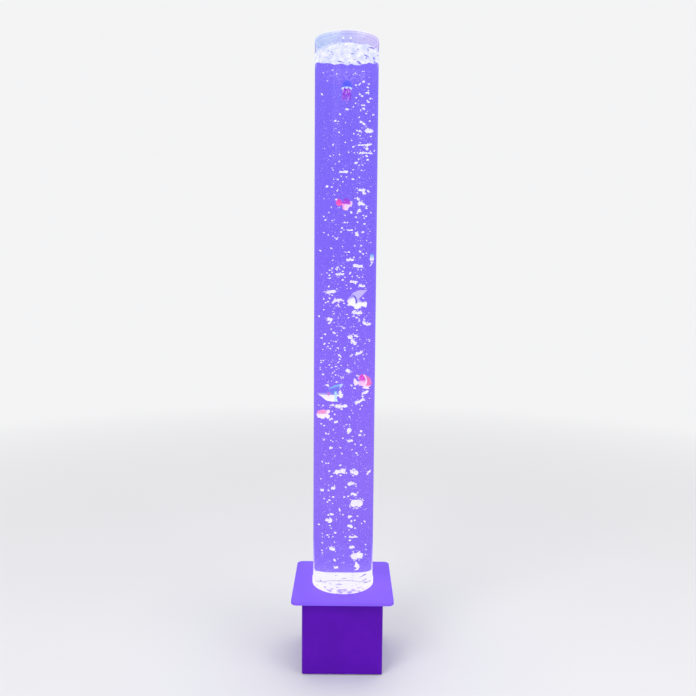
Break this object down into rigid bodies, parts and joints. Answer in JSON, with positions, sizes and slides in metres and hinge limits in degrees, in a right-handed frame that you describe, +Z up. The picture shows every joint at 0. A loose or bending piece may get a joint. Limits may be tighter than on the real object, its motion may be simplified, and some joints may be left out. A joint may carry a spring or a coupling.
{
  "type": "bubble tube floor lamp",
  "caption": "Tall clear water column with a lift-off lid and drifting floats, on a square base that holds an air pump, a light board and a control board.",
  "frame": {"origin": "middle of the footprint, on the floor under the rubber feet", "axes": "+Z up along the tube, -Y towards the viewer of the picture, rear panel at +Y"},
  "size_m": [0.245, 0.245, 1.511],
  "materials": {
    "clear_acrylic": "clear polished",
    "base_paint": "satin violet",
    "plate_paint": "satin pale violet",
    "dark_moulding": "fine texture",
    "black_rubber": "matte",
    "clear_silicone": "smooth",
    "screw_steel": "zinc plated",
    "core_steel": "varnished laminations",
    "coil_copper": "enamelled wire",
    "white_nylon": "moulded",
    "magnet_grey": "ferrite",
    "circuit_board": "solder mask",
    "led_lens": "phosphor",
    "board_components": "moulded",
    "button_plastic": "satin",
    "valve_blue": "moulded",
    "valve_white": "moulded",
    "lead_sheath": "matte",
    "jelly_blue": "moulded",
    "jelly_pink": "moulded",
    "fish_red": "painted",
    "fish_cyan": "painted",
    "fish_white": "painted",
    "fish_hot_pink": "painted",
    "fish_blue": "painted",
    "fish_pale_pink": "painted"
  },
  "bodies": {
    "stand": {"acrylic_tube": "clear_acrylic", "tube_base_disc": "clear_acrylic", "flange_gasket": "clear_silicone", "foot_collar": "clear_acrylic", "top_plate": "plate_paint", "plate_screws": "screw_steel", "base_housing": "base_paint", "bottom_cover": "dark_moulding", "cover_screws": "screw_steel", "rubber_feet": "black_rubber", "air_nozzle": "white_nylon", "nozzle_seal": "black_rubber", "nozzle_nut": "white_nylon", "upper_hose": "clear_silicone", "lower_hose": "clear_silicone", "check_valve_top": "valve_blue", "check_valve_bottom": "valve_white", "check_valve_disc": "black_rubber", "pump_tray": "dark_moulding", "pump_grommets": "black_rubber", "pump_screws": "screw_steel", "pump_core": "core_steel", "core_screws": "screw_steel", "coil_bobbin": "white_nylon", "coil_winding": "coil_copper", "arm_block": "black_rubber", "diaphragm": "black_rubber", "diaphragm_ring": "dark_moulding", "valve_plate": "white_nylon", "valve_flaps": "black_rubber", "pump_head": "dark_moulding", "head_screws": "screw_steel", "led_board": "circuit_board", "leds": "led_lens", "led_connector": "white_nylon", "led_board_screws": "screw_steel", "control_board": "circuit_board", "board_parts": "board_components", "board_screws": "screw_steel", "button_switch": "board_components", "inlet_socket": "board_components", "inlet_pin": "screw_steel", "inlet_nut": "screw_steel", "led_lead": "lead_sheath", "pump_lead": "lead_sheath", "inlet_lead": "lead_sheath"},
    "lid": {"lid": "clear_acrylic"},
    "push_button": {"mode_button": "button_plastic", "switch_stem": "white_nylon"},
    "swing_arm": {"pump_arm": "white_nylon", "arm_magnet": "magnet_grey", "diaphragm_stud": "screw_steel"},
    "jellyfish_float": {"jellyfish_bell": "jelly_blue", "jellyfish_tentacles": "jelly_pink"},
    "red_float": {"red_fish": "fish_red"},
    "cyan_float": {"cyan_fish": "fish_cyan"},
    "striped_float": {"striped_fish": "fish_white"},
    "banded_float": {"banded_fish": "fish_hot_pink"},
    "blue_float": {"blue_fish": "fish_blue"},
    "pink_float": {"pink_fish": "fish_pale_pink"}
  },
  "joints": [
    {"name": "lid_lift", "type": "slide", "parent": "stand", "child": "lid", "axis": [0, 0, 1], "range_m": [0, 0.12]},
    {"name": "button_press", "type": "slide", "parent": "stand", "child": "push_button", "axis": [0, -1, 0], "range_m": [0, 0.001], "stiffness_N_per_m": 300},
    {"name": "arm_swing", "type": "hinge", "parent": "stand", "child": "swing_arm", "pos_m": [-0.072, -0.03, 0.034], "axis": [0, 0, 1], "range_deg": [-1.2, 1.2], "stiffness_Nm_per_rad": 0.8, "deforming": ["diaphragm"]},
    {"name": "jellyfish_drift", "type": "slide", "parent": "stand", "child": "jellyfish_float", "axis": [0, 0, 1], "range_m": [-1.18, 0.019]},
    {"name": "red_fish_drift", "type": "slide", "parent": "stand", "child": "red_float", "axis": [0, 0, 1], "range_m": [-0.916, 0.304]},
    {"name": "cyan_fish_drift", "type": "slide", "parent": "stand", "child": "cyan_float", "axis": [0, 0, 1], "range_m": [-0.13, 0.429]},
    {"name": "striped_fish_drift", "type": "slide", "parent": "stand", "child": "striped_float", "axis": [0, 0, 1], "range_m": [-0.683, 0.521]},
    {"name": "banded_fish_drift", "type": "slide", "parent": "stand", "child": "banded_float", "axis": [0, 0, 1], "range_m": [-0.49, 0.119]},
    {"name": "blue_fish_drift", "type": "slide", "parent": "stand", "child": "blue_float", "axis": [0, 0, 1], "range_m": [-0.458, 0.749]},
    {"name": "pink_fish_drift", "type": "slide", "parent": "stand", "child": "pink_float", "axis": [0, 0, 1], "range_m": [-0.411, 0.817]}
  ]
}
